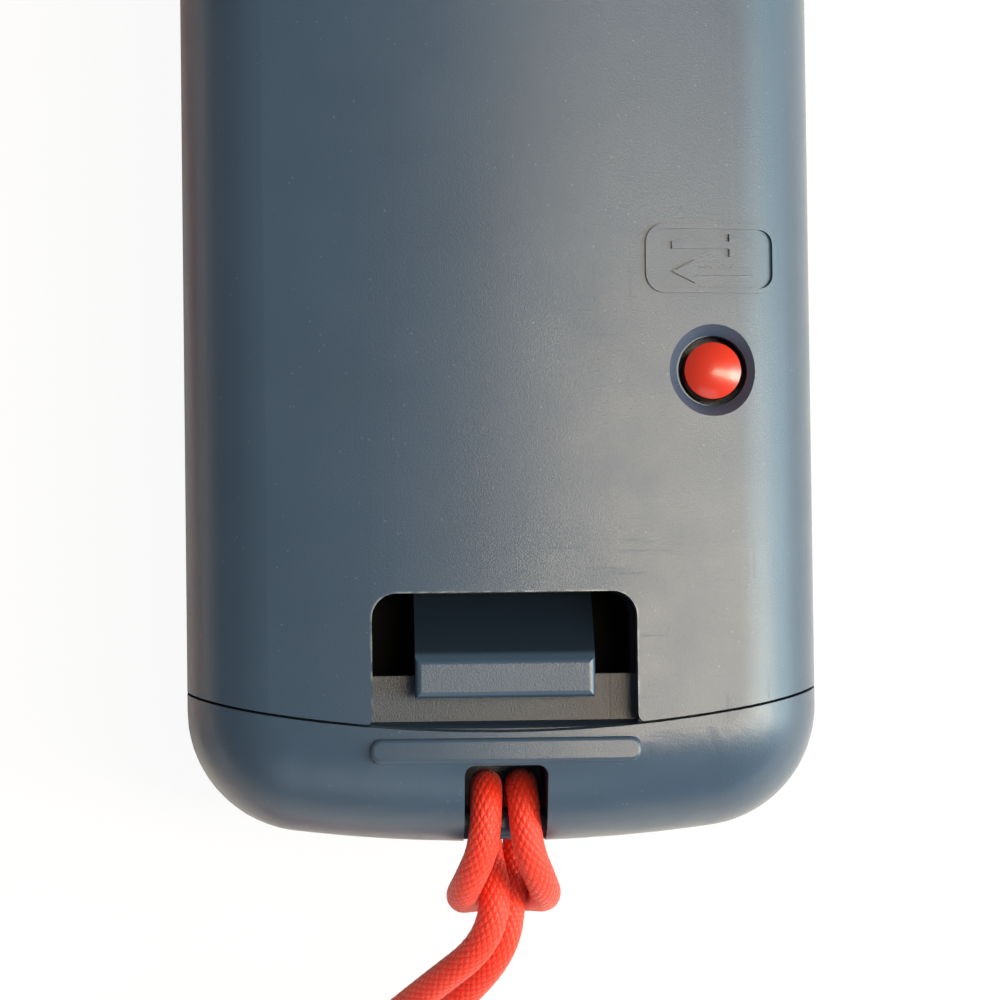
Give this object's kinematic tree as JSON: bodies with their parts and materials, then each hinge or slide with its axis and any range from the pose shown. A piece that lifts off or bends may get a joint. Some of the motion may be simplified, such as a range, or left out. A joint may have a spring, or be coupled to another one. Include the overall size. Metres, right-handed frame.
{
  "type": "motion controller wand",
  "caption": "Slim hand-held motion controller with thumb pad, round buttons, under-finger trigger, battery lid with latch, expansion socket and hitched wrist strap",
  "frame": {"origin": "middle of the wand's length and width, on the surface that its buttons rest on, face down", "axes": "+X to the right seen from the back with the sensor end up, +Y from the strap end to the sensor end, +Z out of the back"},
  "size_m": [0.069, 0.1775, 0.0307],
  "materials": {
    "shell_plastic": "satin moulded plastic with a fine grain",
    "red_plastic": "glossy moulded plastic",
    "pale_plastic": "glossy moulded plastic",
    "dark_plastic": "matt moulded plastic",
    "dark_window": "polished, dark tinted",
    "keypad_rubber": "moulded silicone rubber",
    "board_green": "lacquered glass-fibre board",
    "chip_black": "moulded resin",
    "ceramic_tan": "fired ceramic",
    "lamp_blue": "clear resin over a blue chip",
    "clear_lens": "translucent moulded plastic",
    "speaker_metal": "painted basket with a dark cone",
    "cell_wrap": "printed film on a steel can, left blank",
    "spring_steel": "nickel plated",
    "turned_steel": "turned steel",
    "contact_brass": "gold plated",
    "red_braid": "round braided polyester",
    "red_webbing": "woven flat band"
  },
  "bodies": {
    "casing": {"front_cover": "shell_plastic", "back_cover": "shell_plastic", "sync_switch": "dark_plastic", "trigger_bracket": "dark_plastic", "infrared_camera": "dark_plastic", "expansion_socket": "dark_plastic", "cord_ferrule": "dark_plastic", "sensor_window": "dark_window", "upper_keypad": "keypad_rubber", "lower_keypad": "keypad_rubber", "trigger_dome": "keypad_rubber", "circuit_board": "board_green", "trigger_board": "board_green", "radio_chip": "chip_black", "accelerometer_chip": "chip_black", "gyroscope_chip": "chip_black", "capacitors": "ceramic_tan", "indicator_leds": "lamp_blue", "indicator_lenses": "clear_lens", "speaker": "speaker_metal", "right_cell": "cell_wrap", "left_cell": "cell_wrap", "battery_springs": "spring_steel", "cell_contacts": "spring_steel", "bridge_contact": "spring_steel", "trigger_pin": "turned_steel", "case_screws": "turned_steel", "rumble_motor": "turned_steel", "socket_contacts": "contact_brass", "strap_cord": "red_braid", "wrist_band": "red_webbing"},
    "lid": {"battery_cover": "shell_plastic"},
    "latch": {"cover_latch": "shell_plastic"},
    "trigger_lever": {"trigger": "shell_plastic"},
    "pad_rocker": {"d_pad_pivot": "dark_plastic"},
    "pad": {"d_pad": "pale_plastic"},
    "a_cap": {"a_button": "pale_plastic"},
    "minus_cap": {"minus_button": "pale_plastic"},
    "home_cap": {"home_button": "pale_plastic"},
    "plus_cap": {"plus_button": "pale_plastic"},
    "one_cap": {"one_button": "pale_plastic"},
    "two_cap": {"two_button": "pale_plastic"},
    "power_cap": {"power_button": "red_plastic"},
    "sync_cap": {"sync_button": "red_plastic"},
    "rumble": {"rumble_weight": "turned_steel"},
    "slider": {"band_slider": "dark_plastic"}
  },
  "joints": [
    {"name": "cover_hinge", "type": "hinge", "parent": "casing", "child": "lid", "pos_m": [0, 0.0137, 0.0245], "axis": [-1, 0, 0], "range_deg": [0, 60]},
    {"name": "latch_press", "type": "hinge", "parent": "lid", "child": "latch", "pos_m": [0, -0.0565, 0.0202], "axis": [1, 0, 0], "range_deg": [0, 6], "stiffness_Nm_per_rad": 0.03, "springref_deg": -5.73},
    {"name": "trigger_pull", "type": "hinge", "parent": "casing", "child": "trigger_lever", "pos_m": [0, 0.05, 0.0158], "axis": [1, 0, 0], "range_deg": [0, 7], "stiffness_Nm_per_rad": 0.2, "springref_deg": -5.73, "deforming": ["trigger_dome"]},
    {"name": "pad_pitch", "type": "hinge", "parent": "casing", "child": "pad_rocker", "pos_m": [0, 0.052, 0.00425], "axis": [1, 0, 0], "range_deg": [-2.5, 2.5], "stiffness_Nm_per_rad": 0.08},
    {"name": "pad_roll", "type": "hinge", "parent": "pad_rocker", "child": "pad", "pos_m": [0, 0.052, 0.00425], "axis": [0, 1, 0], "range_deg": [-2.5, 2.5], "stiffness_Nm_per_rad": 0.08},
    {"name": "a_press", "type": "slide", "parent": "casing", "child": "a_cap", "axis": [0, 0, 1], "range_m": [0, 0.0006], "stiffness_N_per_m": 1500, "springref_m": -0.001},
    {"name": "minus_press", "type": "slide", "parent": "casing", "child": "minus_cap", "axis": [0, 0, 1], "range_m": [0, 0.0006], "stiffness_N_per_m": 1500, "springref_m": -0.001},
    {"name": "home_press", "type": "slide", "parent": "casing", "child": "home_cap", "axis": [0, 0, 1], "range_m": [0, 0.0006], "stiffness_N_per_m": 1500, "springref_m": -0.001},
    {"name": "plus_press", "type": "slide", "parent": "casing", "child": "plus_cap", "axis": [0, 0, 1], "range_m": [0, 0.0006], "stiffness_N_per_m": 1500, "springref_m": -0.001},
    {"name": "one_press", "type": "slide", "parent": "casing", "child": "one_cap", "axis": [0, 0, 1], "range_m": [0, 0.0006], "stiffness_N_per_m": 1500, "springref_m": -0.001},
    {"name": "two_press", "type": "slide", "parent": "casing", "child": "two_cap", "axis": [0, 0, 1], "range_m": [0, 0.0006], "stiffness_N_per_m": 1500, "springref_m": -0.001},
    {"name": "power_press", "type": "slide", "parent": "casing", "child": "power_cap", "axis": [0, 0, 1], "range_m": [0, 0.0006], "stiffness_N_per_m": 1500, "springref_m": -0.001},
    {"name": "sync_press", "type": "slide", "parent": "casing", "child": "sync_cap", "axis": [0, 0, -1], "range_m": [0, 0.0005], "stiffness_N_per_m": 1000, "springref_m": -0.001},
    {"name": "rumble_spin", "type": "hinge", "parent": "casing", "child": "rumble", "pos_m": [-0.0123, 0.03, 0.00945], "axis": [0, 1, 0], "continuous": true},
    {"name": "slider_slide", "type": "slide", "parent": "casing", "child": "slider", "axis": [0, 1, 0], "range_m": [0, 0.007]}
  ]
}
